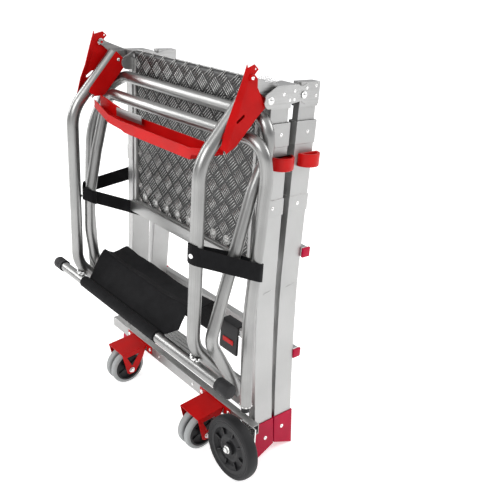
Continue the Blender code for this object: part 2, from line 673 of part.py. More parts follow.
def hook_plate(name):
    bm = bmesh.new()
    fold = [bm.verts.new((HOOK_X, *yz)) for yz in FOLD]
    back = [bm.verts.new((HOOK_X, *yz)) for yz in HOOK_BACK]
    bm.faces.new(fold + back)
    lip = [bm.verts.new(xyz) for xyz in LIP]
    for index in range(4):
        bm.faces.new((fold[index], lip[index], lip[index + 1], fold[index + 1]))
    bmesh.ops.recalc_face_normals(bm, faces=bm.faces)
    if bm.faces[0].normal.x < 0:
        bmesh.ops.reverse_faces(bm, faces=bm.faces)
    obj = solidify(from_bmesh(name, bm, RED_STEEL, recalculate=False), 0.0025, 0)
    eye = hole((HOOK_X, -0.1440, 1.1940), AXIS_X, 0.0028, 0.02, 12)
    slot_outline = [*arc((-0.174, 1.083), 0.004, -60, 120, 6), *arc((-0.192, 1.070), 0.004, 120, 300, 6)]
    slot = plate_yz("slot", [slot_outline], (0.345, 0.38), None)
    bolt = rod("bolt", (0.36125, *RAIL_PIVOT), AXIS_X, 0.004, 0.0185, None, 12)
    head = rod("bolt_head", (0.3669, *RAIL_PIVOT), AXIS_X, 0.0085, 0.0072, None, 6)
    return add(cut(obj, eye, as_cutter(slot)), as_cutter(bolt), as_cutter(head))


for maker, name in ((clamp, "rail_clamp"), (hook_plate, "hook_plate")):
    right = maker(f"{name}_right")
    attach(rail_pivot, right, mirrored(right, f"{name}_left"))

BRIDGE_FRONT = -0.2390
BRIDGE_BACK = -0.1870
BRIDGE_LOW = 0.9530
bm = bmesh.new()
stations = ((-0.3060, -0.2140, -0.1930, 0.984, 0.024), (-0.1850, -0.2350, -0.1900, 0.9620, 0.024),
            (-0.105, BRIDGE_FRONT, BRIDGE_BACK, 0.9580, 0.024), (-0.085, BRIDGE_FRONT, BRIDGE_BACK, BRIDGE_LOW, 0.030),
            (0.235, BRIDGE_FRONT, BRIDGE_BACK, BRIDGE_LOW, 0.030), (0.243, BRIDGE_FRONT, BRIDGE_BACK, 0.9670, 0.018),
            (0.3060, BRIDGE_FRONT + 0.01, BRIDGE_BACK, 0.9760, 0.018))
rows = []
for x, front, back, low, height in stations:
    rows.append([bm.verts.new((x, y, z)) for y, z in ((front, low + height), (front, low), (back, low),
                                                      (back, low + 0.038))])
for row, following in zip(rows, rows[1:]):
    for index in range(3):
        bm.faces.new((row[index], row[index + 1], following[index + 1], following[index]))
attach(rail_pivot, solidify(from_bmesh("red_bridge", bm, RED_STEEL), 0.002, 0))


# Soft parts: the tool tray's fabric and the two hook-and-loop straps

TRAY_X = (-0.298, 0.205)
tray_section = [(-0.2545, 0.4000), (-0.2060, 0.4940), (-0.1980, 0.4960), (-0.1150, 0.4860), (-0.1060, 0.4780),
                (-0.1000, 0.3700), (-0.1080, 0.3700), (-0.1150, 0.4740), (-0.1980, 0.4860), (-0.2470, 0.3960)]
tray = plate_yz("tool_tray", [tray_section], TRAY_X, FABRIC)
tray.data.materials.append(FABRIC)


def wrap(circles, steps=14):
    """The outline of a band pulled tight round some circles of (x, y, radius)."""
    points = []
    for x, y, radius in circles:
        points += arc((x, y), radius, 0, 360 - 360 / (2 * steps), 2 * steps - 1)
    points.sort()
    outline = []
    for ordered in (points, points[::-1]):
        chain = []
        for point in ordered:
            while len(chain) > 1 and ((chain[-1][0] - chain[-2][0]) * (point[1] - chain[-2][1])
                                      - (chain[-1][1] - chain[-2][1]) * (point[0] - chain[-2][0])) <= 1e-12:
                chain.pop()
            chain.append(point)
        outline += chain[:-1]
    return outline


STRAP = 0.0022
BAND = 0.052
POST_WRAP = (POST_X, -0.2800)
RAIL_WRAP = (0.4036, -0.1377)
MIDDLE_WRAP = (0.3625, -0.1790)
clearances = (0.0008, 0.0008 + STRAP)
loops = [wrap([(*POST_WRAP, POST_RADIUS + more), (*RAIL_WRAP, RAIL_RADIUS + 0.0010 + more),
               (*MIDDLE_WRAP, RAIL_RADIUS + 0.0090 + more)]) for more in clearances]
strap_right = plate_xy("strap_right", loops[::-1], (-BAND / 2, BAND / 2), WEBBING)
strap_right.data.materials.append(WEBBING)
for vert in strap_right.data.vertices:
    vert.co.z += 0.727 - 0.36 * (vert.co.y - POST_WRAP[1])
strap_right.location.z = 0

TAIL_IN = -0.3128
TAIL_OUT = -0.3895
TAIL_END = -0.002
LEFT_WRAP = ((-0.3205, -0.2345), (-0.3680, -0.2080))


def left_band(more):
    hull = wrap([(*LEFT_WRAP[0], RAIL_RADIUS + 0.003 + more), (*LEFT_WRAP[1], RAIL_RADIUS + 0.003 + more)])
    front = [point for point in hull if point[1] < -0.212]
    front.sort(key=lambda point: math.atan2(point[1] + 0.20, point[0] + 0.345))
    return front


outer_band = left_band(STRAP)
inner_band = left_band(0.0)
outline = ([(TAIL_OUT, TAIL_END), (TAIL_OUT, -0.200)] + outer_band
           + [(TAIL_IN - 0.0002, -0.100), (TAIL_IN, TAIL_END), (TAIL_IN - STRAP, TAIL_END),
              (TAIL_IN - STRAP - 0.0002, -0.100)]
           + inner_band[::-1] + [(TAIL_OUT + STRAP, -0.200), (TAIL_OUT + STRAP, TAIL_END)])
strap_left = plate_xy("strap_left", [outline], (-0.022, 0.022), WEBBING)
strap_left.data.materials.append(WEBBING)
for vert in strap_left.data.vertices:
    across = (vert.co.x - TAIL_OUT) / (TAIL_IN - TAIL_OUT)
    rise = 0.140 * (vert.co.y + 0.240)
    drop = -0.450 * (vert.co.y + 0.240)
    vert.co.z += 0.694 + rise * (1 - across) + drop * across
strap_left.location.z = 0
attach(rail_pivot, tray, strap_right, strap_left)


# Locking knobs, one on each stile, and the spring latch by the right-hand lug

KNOB_OUT = 0.034
for section, face in (("front", FRONT_Y), ("rear", REAR_Y)):
    middle_y = face + STILE_DEPTH / 2 + 0.016
    middle_z = 0.942
    for side_name, side in SIDES:
        base = STILE_OUT + GAP
        bow = [(base, middle_y - 0.036), *((base + KNOB_OUT * math.cos(math.radians(a)),
               middle_y + 0.036 * math.sin(math.radians(a))) for a in range(-78, 79, 12)), (base, middle_y + 0.036)]
        void = [(base + 0.006, middle_y - 0.024), *((base + 0.006 + 0.0205 * math.cos(math.radians(a)),
                middle_y + 0.026 * math.sin(math.radians(a))) for a in range(-60, 61, 15)),
                (base + 0.006, middle_y + 0.024)]
        outlines = [[(side * x, y) for x, y in loop] for loop in (bow, void)]
        knob = plate_xy(f"{section}_knob_{side_name}", outlines, (middle_z - 0.018, middle_z + 0.018), RED_PLASTIC)
        knob.data.materials.append(RED_PLASTIC)
        slide = pivot(f"{section}_knob_slide_{side_name}", (side * base, middle_y, middle_z),
                      rear_slide if section == "rear" else None)
        attach(slide, knob)

LATCH_PIN = (-0.033, 1.156)
latch = plate_yz("spring_latch", [[(-0.132, 1.1540), (-0.122, 1.1510), (-0.040, 1.1506), (-0.030, 1.1530),
                                   (-0.034, 1.1560), (-0.110, 1.1580), (-0.130, 1.1580)]], (0.3190, 0.3290), ZINC)
latch.data.materials.append(ZINC)
latch_pivot = pivot("latch_pivot", (0.324, *LATCH_PIN), front_slide)
attach(latch_pivot, latch)

rear_hinge.rotation_euler.x = -REAR_LEAN

for obj in parts.objects:
    if obj.type == "MESH" and not obj.data.materials:
        obj.data.materials.append(ALUMINIUM)
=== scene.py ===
import json
import math

import bmesh
import bpy
from mathutils import Matrix, Vector, noise


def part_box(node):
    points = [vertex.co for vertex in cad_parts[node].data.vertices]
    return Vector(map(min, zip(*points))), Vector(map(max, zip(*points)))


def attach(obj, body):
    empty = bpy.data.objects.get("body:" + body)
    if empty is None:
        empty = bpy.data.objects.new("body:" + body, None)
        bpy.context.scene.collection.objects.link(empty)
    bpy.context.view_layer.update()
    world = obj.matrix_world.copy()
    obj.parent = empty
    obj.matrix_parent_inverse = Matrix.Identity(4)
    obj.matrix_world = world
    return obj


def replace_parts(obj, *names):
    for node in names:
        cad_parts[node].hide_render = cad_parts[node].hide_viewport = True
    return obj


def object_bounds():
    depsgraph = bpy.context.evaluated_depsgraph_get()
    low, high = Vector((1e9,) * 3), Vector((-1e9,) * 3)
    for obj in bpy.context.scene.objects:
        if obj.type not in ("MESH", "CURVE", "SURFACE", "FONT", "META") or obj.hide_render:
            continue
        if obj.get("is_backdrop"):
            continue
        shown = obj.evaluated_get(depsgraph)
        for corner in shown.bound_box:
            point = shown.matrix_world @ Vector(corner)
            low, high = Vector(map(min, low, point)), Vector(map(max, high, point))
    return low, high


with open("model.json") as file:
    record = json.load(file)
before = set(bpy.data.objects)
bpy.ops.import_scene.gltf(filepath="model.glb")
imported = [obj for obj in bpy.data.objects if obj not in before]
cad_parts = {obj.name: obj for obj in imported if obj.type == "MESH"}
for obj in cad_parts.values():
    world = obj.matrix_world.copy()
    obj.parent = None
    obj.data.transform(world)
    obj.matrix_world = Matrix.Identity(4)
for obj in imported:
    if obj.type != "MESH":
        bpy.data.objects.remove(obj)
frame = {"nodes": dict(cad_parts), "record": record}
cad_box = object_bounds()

# Camera
# It stands to the right in front of the ladder, a little above its top, with a very small roll.

turn = math.radians(48.480)
tip = math.radians(22.883)
roll = math.radians(-3.535)
ahead = Vector((-math.sin(turn) * math.cos(tip), math.cos(turn) * math.cos(tip), -math.sin(tip)))
level_right = Vector((math.cos(turn), math.sin(turn), 0))
level_down = ahead.cross(level_right)
right = level_right * math.cos(roll) + level_down * math.sin(roll)
down = level_down * math.cos(roll) - level_right * math.sin(roll)
camera = bpy.data.objects.new("camera", bpy.data.cameras.new("camera"))
bpy.context.scene.collection.objects.link(camera)
axes = Matrix([(right[i], -down[i], -ahead[i]) for i in range(3)]).to_4x4()
camera.matrix_world = Matrix.Translation((1.5740, -1.2289, 1.4213)) @ axes
camera.data.lens = 47.788
camera.data.sensor_width = 36
camera.data.shift_x = 0.01768
camera.data.shift_y = -0.00935
camera.data.clip_end = 200
bpy.context.scene.camera = camera
bpy.context.scene.view_settings.view_transform = "Standard"


# Studio
# A pale seamless floor, a soft sky and three large soft lights, with a darker band near the horizon
# that gives the metal something to reflect.

def new_material(name):
    """A material with its nodes, its links and its shader."""
    made = bpy.data.materials.new(name)
    made.use_nodes = True
    return made, made.node_tree.nodes, made.node_tree.links, made.node_tree.nodes["Principled BSDF"]


def add_object(name, data, material=None):
    """An object at the origin, in the scene, with one material where it is given."""
    obj = bpy.data.objects.new(name, data)
    bpy.context.scene.collection.objects.link(obj)
    if material:
        data.materials.append(material)
    return obj


FLOOR_HALF = 80
LIGHT_AIM = Vector((0, 0, 0.6))
floor_white, *_, shader = new_material("floor_white")
shader.inputs["Base Color"].default_value = (0.96, 0.96, 0.96, 1)
shader.inputs["Emission Color"].default_value = (1, 1, 1, 1)
shader.inputs["Emission Strength"].default_value = 0.42
shader.inputs["Roughness"].default_value = 0.9
bm = bmesh.new()
bmesh.ops.create_grid(bm, x_segments=1, y_segments=1, size=FLOOR_HALF)
floor_mesh = bpy.data.meshes.new("floor")
bm.to_mesh(floor_mesh)
bm.free()
add_object("floor", floor_mesh, floor_white)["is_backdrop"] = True

world = bpy.data.worlds.new("soft_sky")
bpy.context.scene.world = world
world.use_nodes = True
sky = world.node_tree
coords = sky.nodes.new("ShaderNodeTexCoord")
split = sky.nodes.new("ShaderNodeSeparateXYZ")
ramp = sky.nodes.new("ShaderNodeValToRGB")
sky.links.new(coords.outputs["Generated"], split.inputs[0])
sky.links.new(split.outputs["Z"], ramp.inputs[0])
sky.links.new(ramp.outputs[0], sky.nodes["Background"].inputs["Color"])
ramp.color_ramp.elements[0].position = 0.02
ramp.color_ramp.elements[0].color = (0.26, 0.26, 0.27, 1)
ramp.color_ramp.elements[1].position = 0.75
ramp.color_ramp.elements[1].color = (1.0, 1.0, 1.0, 1)
middle = ramp.color_ramp.elements.new(0.30)
middle.color = (0.56, 0.56, 0.57, 1)
sky.nodes["Background"].inputs["Strength"].default_value = 1.0

for name, place, size, power in (
        ("key_light", (1.2, -3.7, 3.2), (2.2, 2.2), 100),
        ("left_light", (-3.2, -2.0, 2.4), (1.0, 2.6), 60),
        ("back_light", (1.8, 3.0, 2.6), (2.0, 1.6), 50)):
    light = bpy.data.lights.new(name, "AREA")
    light.shape = "RECTANGLE"
    light.size, light.size_y = size
    light.energy = power
    lamp = add_object(name, light)
    lamp.location = place
    lamp.rotation_euler = (LIGHT_AIM - Vector(place)).to_track_quat("-Z", "Y").to_euler()


# Stiles
# Extruded aluminium box sections with a satin face and fine drawing lines along their length. The
# lower ones carry riveted collars and a pressed crease where they start to splay.

BODY_OF = {node: body for body, nodes in frame["record"]["behaviour"]["bodies"].items() for node in nodes}


def grained(name, color, roughness, scale, depth=0.02, spread=0.12, blotch=6.0, dark=0.75, uv=False):
    """A metal with streaks of the given scale, a few clouded patches, and a very fine relief."""
    made, nodes, links, shader = new_material(name)
    shader.inputs["Metallic"].default_value = 1.0
    coords = nodes.new("ShaderNodeTexCoord")
    mapping = nodes.new("ShaderNodeMapping")
    mapping.inputs["Scale"].default_value = scale
    links.new(coords.outputs["UV" if uv else "Object"], mapping.inputs["Vector"])
    streaks = nodes.new("ShaderNodeTexNoise")
    streaks.inputs["Scale"].default_value = 1.0
    streaks.inputs["Detail"].default_value = 5.0
    links.new(mapping.outputs[0], streaks.inputs["Vector"])
    clouds = nodes.new("ShaderNodeTexNoise")
    clouds.inputs["Scale"].default_value = blotch
    clouds.inputs["Detail"].default_value = 4.0
    links.new(coords.outputs["Object"], clouds.inputs["Vector"])
    both = nodes.new("ShaderNodeMath")
    both.operation = "MULTIPLY"
    links.new(streaks.outputs["Fac"], both.inputs[0])
    links.new(clouds.outputs["Fac"], both.inputs[1])
    tone = nodes.new("ShaderNodeValToRGB")
    tone.color_ramp.elements[0].position = 0.12
    tone.color_ramp.elements[0].color = (*(dark * c for c in color), 1)
    tone.color_ramp.elements[1].position = 0.36
    tone.color_ramp.elements[1].color = (*color, 1)
    links.new(both.outputs[0], tone.inputs[0])
    links.new(tone.outputs[0], shader.inputs["Base Color"])
    rough = nodes.new("ShaderNodeMapRange")
    rough.inputs["From Min"].default_value = 0.3
    rough.inputs["From Max"].default_value = 0.7
    rough.inputs["To Min"].default_value = roughness - spread
    rough.inputs["To Max"].default_value = roughness + spread
    links.new(streaks.outputs["Fac"], rough.inputs["Value"])
    links.new(rough.outputs[0], shader.inputs["Roughness"])
    bump = nodes.new("ShaderNodeBump")
    bump.inputs["Strength"].default_value = depth * 10
    bump.inputs["Distance"].default_value = 0.0004
    links.new(streaks.outputs["Fac"], bump.inputs["Height"])
    links.new(bump.outputs[0], shader.inputs["Normal"])
    return made


def smooth(mesh, angle=35):
    """Shades a mesh smooth, but for edges sharper than the angle."""
    for polygon in mesh.polygons:
        polygon.use_smooth = True
    mesh.set_sharp_from_angle(angle=math.radians(angle))


def softened(node, width, material, segments=2, flat_angle=1.0):
    """A copy of a frame node with its edges eased, which stands for it and rides on its body."""
    bm = bmesh.new()
    bm.from_mesh(frame["nodes"][node].data)
    bmesh.ops.remove_doubles(bm, verts=bm.verts, dist=2e-5)
    bmesh.ops.dissolve_limit(bm, angle_limit=math.radians(flat_angle), verts=bm.verts, edges=bm.edges)
    mesh = bpy.data.meshes.new(node + "_finished")
    bm.to_mesh(mesh)
    bm.free()
    for extra in [a for a in mesh.attributes if a.name == "custom_normal"]:
        mesh.attributes.remove(extra)
    mesh.materials.clear()
    smooth(mesh)
    obj = add_object(node + "_finished", mesh, material)
    ease = obj.modifiers.new("Eased edges", "BEVEL")
    ease.width = width
    ease.segments = segments
    ease.limit_method = "ANGLE"
    ease.angle_limit = math.radians(35)
    ease.harden_normals = True
    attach(obj, BODY_OF[node])
    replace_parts(obj, node)
    return obj


def group(name, bm, material, body, angle=35):
    """A new piece made from a finished bmesh."""
    bmesh.ops.recalc_face_normals(bm, faces=bm.faces)
    mesh = bpy.data.meshes.new(name)
    bm.to_mesh(mesh)
    bm.free()
    smooth(mesh, angle)
    obj = add_object(name, mesh, material)
    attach(obj, body)
    return obj


def dome(bm, place, facing, radius, height, brim=0.0, segments=16):
    """A rivet or bolt head on a face: a low dome, with a thin brim where one is given."""
    place, facing = Vector(place), Vector(facing).normalized()
    turn = facing.to_track_quat("Z", "Y").to_matrix().to_4x4()
    size = Matrix.Diagonal((radius, radius, height, 1))
    made = bmesh.ops.create_uvsphere(
        bm, u_segments=segments, v_segments=8, radius=1, matrix=Matrix.Translation(place) @ turn @ size)
    under = [v for v in made["verts"] if (v.co - place).dot(facing) < -height * 0.3]
    bmesh.ops.delete(bm, geom=under, context="VERTS")
    rim = [e for e in bm.edges if e.is_boundary]
    bmesh.ops.holes_fill(bm, edges=rim, sides=0)
    if brim:
        bmesh.ops.create_cone(
            bm, cap_ends=True, segments=segments, radius1=radius * 1.3, radius2=radius * 1.25, depth=brim,
            matrix=Matrix.Translation(place + facing * brim / 2) @ turn)


satin_vertical = grained("satin_extrusion", (0.46, 0.46, 0.455), 0.46, (700, 700, 9), depth=0.015, dark=0.86)
for section in ("front", "rear"):
    for side in ("left", "right"):
        softened(f"{section}_outer_stile_{side}", 0.0014, satin_vertical, 3)
        softened(f"{section}_inner_stile_{side}", 0.0012, satin_vertical)

bright_rivet = grained("bright_rivet", (0.86, 0.86, 0.85), 0.22, (300, 300, 300), depth=0.004, spread=0.06)
HINGE = Vector((0, 0.021, 1.122))
LEAN = (Matrix.Translation(HINGE) @ Matrix.Rotation(math.radians(-1.1), 4, "X")
        @ Matrix.Translation(-HINGE))
SPLAY_TOP = 0.60
SPLAY = 0.046
COLLAR_FACE = 0.3492
CREASE_Z = 0.556


def flare(z):
    """How far out the stiles have splayed at a height."""
    return SPLAY * ((SPLAY_TOP - z) / SPLAY_TOP) ** 1.5 if z < SPLAY_TOP else 0.0


for section, middle_y, body in (("front", -0.035, "front_outer"), ("rear", 0.066, "rear_outer")):
    bm = bmesh.new()
    creases = bmesh.new()
    for side in (-1, 1):
        for z, y in ((1.018, middle_y + 0.006), (0.815, middle_y - 0.004)):
            dome(bm, (side * COLLAR_FACE, y, z), (side, 0, 0), 0.0042, 0.0022, 0.0006)
        place = Matrix.Translation((side * (0.3470 + flare(CREASE_Z)), middle_y + 0.004, CREASE_Z))
        tilt = Matrix.Rotation(math.radians(8), 4, "X")
        bmesh.ops.create_uvsphere(creases, u_segments=20, v_segments=10, radius=1,
                                  matrix=place @ tilt @ Matrix.Diagonal((0.0016, 0.020, 0.0036, 1)))
    if section == "rear":
        bmesh.ops.transform(bm, matrix=LEAN, verts=bm.verts)
        bmesh.ops.transform(creases, matrix=LEAN, verts=creases.verts)
    group(f"{section}_collar_rivets", bm, bright_rivet, body)
    group(f"{section}_stile_creases", creases, satin_vertical, body)


# Rungs, bottom step and base bar
# Square and ribbed aluminium extrusions. The rear rungs are screwed to the back of the stiles and
# closed with square red caps.

satin_across = grained("satin_bar", (0.42, 0.42, 0.415), 0.44, (9, 700, 700), depth=0.02, dark=0.8)
for node, width in (("front_rung", 0.0010), ("rear_lower_rung", 0.0010), ("rear_upper_rung", 0.0010),
                    ("bottom_step", 0.0007), ("base_bar", 0.0016)):
    softened(node, width, satin_across)


def glossy(name, color, roughness, relief, distance, scale, shine=0.30):
    """Paint or plastic with a fine orange-peel relief and slightly uneven gloss."""
    made, nodes, links, shader = new_material(name)
    shader.inputs["Specular IOR Level"].default_value = shine
    coords = nodes.new("ShaderNodeTexCoord")
    fine = nodes.new("ShaderNodeTexNoise")
    fine.inputs["Scale"].default_value = scale
    fine.inputs["Detail"].default_value = 3.0
    links.new(coords.outputs["Object"], fine.inputs["Vector"])
    wide = nodes.new("ShaderNodeTexNoise")
    wide.inputs["Scale"].default_value = 14.0
    wide.inputs["Detail"].default_value = 5.0
    links.new(coords.outputs["Object"], wide.inputs["Vector"])
    tone = nodes.new("ShaderNodeValToRGB")
    tone.color_ramp.elements[0].position = 0.35
    tone.color_ramp.elements[0].color = (*(0.82 * c for c in color), 1)
    tone.color_ramp.elements[1].position = 0.65
    tone.color_ramp.elements[1].color = (*color, 1)
    links.new(wide.outputs["Fac"], tone.inputs[0])
    links.new(tone.outputs[0], shader.inputs["Base Color"])
    rough = nodes.new("ShaderNodeMapRange")
    rough.inputs["To Min"].default_value = roughness - 0.07
    rough.inputs["To Max"].default_value = roughness + 0.07
    links.new(wide.outputs["Fac"], rough.inputs["Value"])
    links.new(rough.outputs[0], shader.inputs["Roughness"])
    bump = nodes.new("ShaderNodeBump")
    bump.inputs["Strength"].default_value = relief
    bump.inputs["Distance"].default_value = distance
    links.new(fine.outputs["Fac"], bump.inputs["Height"])
    links.new(bump.outputs[0], shader.inputs["Normal"])
    return made


def block(bm, centre, size):
    """Adds a rectangular block of the given size."""
    bmesh.ops.create_cube(bm, size=1, matrix=Matrix.Translation(centre) @ Matrix.Diagonal((*size, 1)))


def ease_all(bm, width, segments=2):
    """Rounds every edge of the blocks in a bmesh."""
    bmesh.ops.bevel(bm, geom=list(bm.edges), offset=width, offset_type="OFFSET", segments=segments,
                    profile=0.5, affect="EDGES", material=-1)


red_plastic = glossy("red_moulding", (0.42, 0.002, 0.034), 0.44, 0.25, 0.0003, 900, 0.14)
bm = bmesh.new()
for z, reach in ((0.317, 0.359), (0.655, 0.349)):
    for side in (-1, 1):
        block(bm, (side * (reach + 0.0042), 0.1155, z), (0.008, 0.0300, 0.0300))
bmesh.ops.transform(bm, matrix=LEAN, verts=bm.verts)
ease_all(bm, 0.0022, 3)
group("rear_rung_caps", bm, red_plastic, "rear_outer", 60)

BAR_FACE = -0.1021
bm = bmesh.new()
for x in (-0.290, -0.10, 0.10, 0.290):
    dome(bm, (x, BAR_FACE, 0.130), (0, -1, 0), 0.004, 0.002, 0.0006)
dome(bm, (0.352, BAR_FACE, 0.136), (0, -1, 0), 0.0065, 0.004, 0.001)
group("base_bar_rivets", bm, bright_rivet, "front_outer")


# Boots
# Moulded crimson cups pushed over the stile ends, each held by one rivet through its outer face.

for section, y, z, body in (("front", -0.030, 0.064, "front_outer"), ("rear", 0.060, 0.078, "rear_outer")):
    bm = bmesh.new()
    for side, sign in (("left", -1), ("right", 1)):
        softened(f"{section}_boot_{side}", 0.0024, red_plastic, 3)
        dome(bm, (sign * (0.3508 + flare(z)), y, z), (sign, 0, 0.1), 0.0050, 0.0026, 0.0006)
    if section == "rear":
        bmesh.ops.transform(bm, matrix=LEAN, verts=bm.verts)
    group(f"{section}_boot_rivets", bm, bright_rivet, body)


# Castors
# A folded and powder-coated steel fork bolted to the bar, a black nylon hub and two grey tyres on
# each, running on a bright bolt with a nut on its outer end.

powder_red = glossy("red_powder_coat", (0.44, 0.002, 0.002), 0.40, 0.35, 0.0003, 1300, 0.12)
grey_tyre = glossy("grey_tyre_rubber", (0.30, 0.31, 0.31), 0.62, 0.4, 0.0004, 700)
black_nylon = glossy("black_nylon", (0.007, 0.007, 0.008), 0.48, 0.3, 0.0003, 800)


def turned(name, profile, centre, axis, material, body, node, steps=72):
    """A closed ring spun from (radius, along) points round an axis, which stands for a frame node."""
    bm = bmesh.new()
    verts = [bm.verts.new((radius, 0, along)) for radius, along in profile]
    for one, two in zip(verts, verts[1:] + verts[:1]):
        bm.edges.new((one, two))
    bmesh.ops.spin(bm, geom=list(bm.verts) + list(bm.edges), cent=(0, 0, 0), axis=(0, 0, 1), angle=math.tau,
                   steps=steps, use_merge=True)
    bmesh.ops.remove_doubles(bm, verts=bm.verts, dist=1e-6)
    aim = Vector(axis).to_track_quat("Z", "Y").to_matrix().to_4x4()
    bmesh.ops.transform(bm, matrix=Matrix.Translation(centre) @ aim, verts=bm.verts)
    obj = group(name, bm, material, body, 40)
    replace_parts(obj, node)


def plate_round(bm, matrix, sides, foot, top, depth):
    """Adds a round or six-sided plate with the given radii, square to the z axis of the matrix."""
    bmesh.ops.create_cone(bm, cap_ends=True, segments=sides, radius1=foot, radius2=top, depth=depth,
                          matrix=matrix)


ACROSS = Matrix.Rotation(math.pi / 2, 4, "Y")
CASTOR_X, CASTOR_Y, CASTOR_RADIUS = 0.222, -0.167, 0.0625
TYRE_OFFSET = 0.0165
SPOKES = 6
TYRE_PROFILE = [(0.0500, -0.0108), (0.0500, 0.0108), (0.0560, 0.0110), (0.0590, 0.0103), (0.0610, 0.0088),
                (0.0621, 0.0062), (0.0625, 0.0030), (0.0625, -0.0030), (0.0621, -0.0062), (0.0610, -0.0088),
                (0.0590, -0.0103), (0.0560, -0.0110)]
HUB_PROFILE = [(0.0053, -0.0300), (0.0130, -0.0300), (0.0150, -0.0285), (0.0160, -0.0200), (0.0380, -0.0180),
               (0.0425, -0.0210), (0.0435, -0.0290), (0.0497, -0.0290), (0.0497, 0.0290), (0.0435, 0.0290),
               (0.0425, 0.0210), (0.0380, 0.0180), (0.0160, 0.0200), (0.0150, 0.0285), (0.0130, 0.0300),
               (0.0053, 0.0300)]
bolts = bmesh.new()
for side, sign in (("left", -1), ("right", 1)):
    middle = sign * CASTOR_X
    hub_centre = (middle, CASTOR_Y, CASTOR_RADIUS)
    softened(f"castor_fork_{side}", 0.0006, powder_red)
    turned(f"castor_wheel_{side}", HUB_PROFILE, hub_centre, (1, 0, 0), black_nylon, f"castor_{side}",
           f"castor_hub_{side}")
    for number, offset in ((1, -TYRE_OFFSET), (2, TYRE_OFFSET)):
        turned(f"castor_tread_{side}_{number}", TYRE_PROFILE, (middle + offset, CASTOR_Y, CASTOR_RADIUS),
               (1, 0, 0), grey_tyre, f"castor_{side}", f"castor_tyre_{side}_{number}")
    spokes = bmesh.new()
    for number in range(SPOKES):
        angle = math.tau * number / SPOKES
        for face in (-1, 1):
            place = (Matrix.Translation((middle + face * 0.0195, CASTOR_Y, CASTOR_RADIUS))
                     @ Matrix.Rotation(angle, 4, "X") @ Matrix.Translation((0, 0, 0.0275))
                     @ Matrix.Diagonal((0.0060, 0.0030, 0.0240, 1)))
            bmesh.ops.create_cube(spokes, size=1, matrix=place)
    group(f"castor_spokes_{side}", spokes, black_nylon, f"castor_{side}")
    for x in (-0.068, 0.068):
        dome(bolts, (middle + x, -0.1049, 0.133), (0, -1, 0), 0.0058, 0.0034, 0.0010)
    for face in (-1, 1):
        nut = Matrix.Translation((middle + face * 0.0512, CASTOR_Y, CASTOR_RADIUS)) @ ACROSS
        washer = Matrix.Translation((face * -0.0025, 0, 0)) @ nut
        plate_round(bolts, washer, 20, 0.0100, 0.0100, 0.0012)
        plate_round(bolts, nut, 6, 0.0085, 0.0080, 0.0050)
group("castor_bolts", bolts, bright_rivet, "front_outer")


# Transport wheel
# One solid rubber wheel on a pressed black disc, turning on a stub axle with a bright domed nut.

black_rubber = glossy("black_rubber", (0.011, 0.011, 0.012), 0.60, 0.4, 0.0004, 600)
WHEEL = (0.393, -0.169, 0.100)
WHEEL_RIBS = 8
WHEEL_TYRE_PROFILE = [(0.0800, -0.0175), (0.0800, 0.0175), (0.0840, 0.0190), (0.0862, 0.0180),
                      (0.0885, 0.0195), (0.0930, 0.0192), (0.0962, 0.0165), (0.0972, 0.0158),
                      (0.0985, 0.0125), (0.0997, 0.0070), (0.1000, 0.0000), (0.0997, -0.0070),
                      (0.0985, -0.0125), (0.0972, -0.0158), (0.0962, -0.0165), (0.0930, -0.0192),
                      (0.0885, -0.0195), (0.0862, -0.0180), (0.0840, -0.0190)]
WHEEL_DISC_PROFILE = [(0.0063, -0.0200), (0.0170, -0.0200), (0.0190, -0.0185), (0.0205, -0.0100),
                      (0.0280, -0.0090), (0.0330, -0.0120), (0.0400, -0.0120), (0.0450, -0.0085),
                      (0.0600, -0.0070), (0.0655, -0.0120), (0.0680, -0.0168), (0.0797, -0.0170),
                      (0.0797, 0.0170), (0.0680, 0.0168), (0.0655, 0.0120), (0.0600, 0.0070),
                      (0.0450, 0.0085), (0.0205, 0.0100), (0.0190, 0.0185), (0.0170, 0.0200),
                      (0.0063, 0.0200)]
turned("transport_tyre", WHEEL_TYRE_PROFILE, WHEEL, (0, 1, 0), black_rubber, "transport_wheel",
       "wheel_tyre", 96)
turned("transport_disc", WHEEL_DISC_PROFILE, WHEEL, (0, 1, 0), black_nylon, "transport_wheel",
       "wheel_hub", 96)
ribs = bmesh.new()
for number in range(WHEEL_RIBS):
    for face in (-1, 1):
        place = (Matrix.Translation(Vector(WHEEL) + Vector((0, face * 0.0105, 0)))
                 @ Matrix.Rotation(math.tau * number / WHEEL_RIBS + 0.2, 4, "Y")
                 @ Matrix.Translation((0, 0, 0.0560)) @ Matrix.Diagonal((0.0040, 0.0070, 0.0240, 1)))
        bmesh.ops.create_cube(ribs, size=1, matrix=place)
group("transport_disc_ribs", ribs, black_nylon, "transport_wheel")
zinc = grained("bright_zinc_plate", (0.80, 0.80, 0.79), 0.26, (260, 260, 260), depth=0.006, spread=0.08)
nut = bmesh.new()
FORWARD = Matrix.Rotation(math.pi / 2, 4, "X")
for y, sides, radius, depth in ((-0.1899, 28, 0.0125, 0.0014), (-0.1935, 6, 0.0095, 0.0060)):
    plate_round(nut, Matrix.Translation((WHEEL[0], y, WHEEL[2])) @ FORWARD, sides, radius, radius, depth)
dome(nut, (WHEEL[0], -0.1962, WHEEL[2]), (0, -1, 0), 0.0062, 0.0045)
group("transport_wheel_nut", nut, zinc, "front_outer")
softened("wheel_bracket", 0.0006, zinc)
softened("wheel_axle", 0.0004, zinc)


# Top brackets, hinge and latch
# Thick aluminium pressings riveted to the inner stiles. Round lugs carry the rail's arms, and steel
# pins join the two ladder sections.

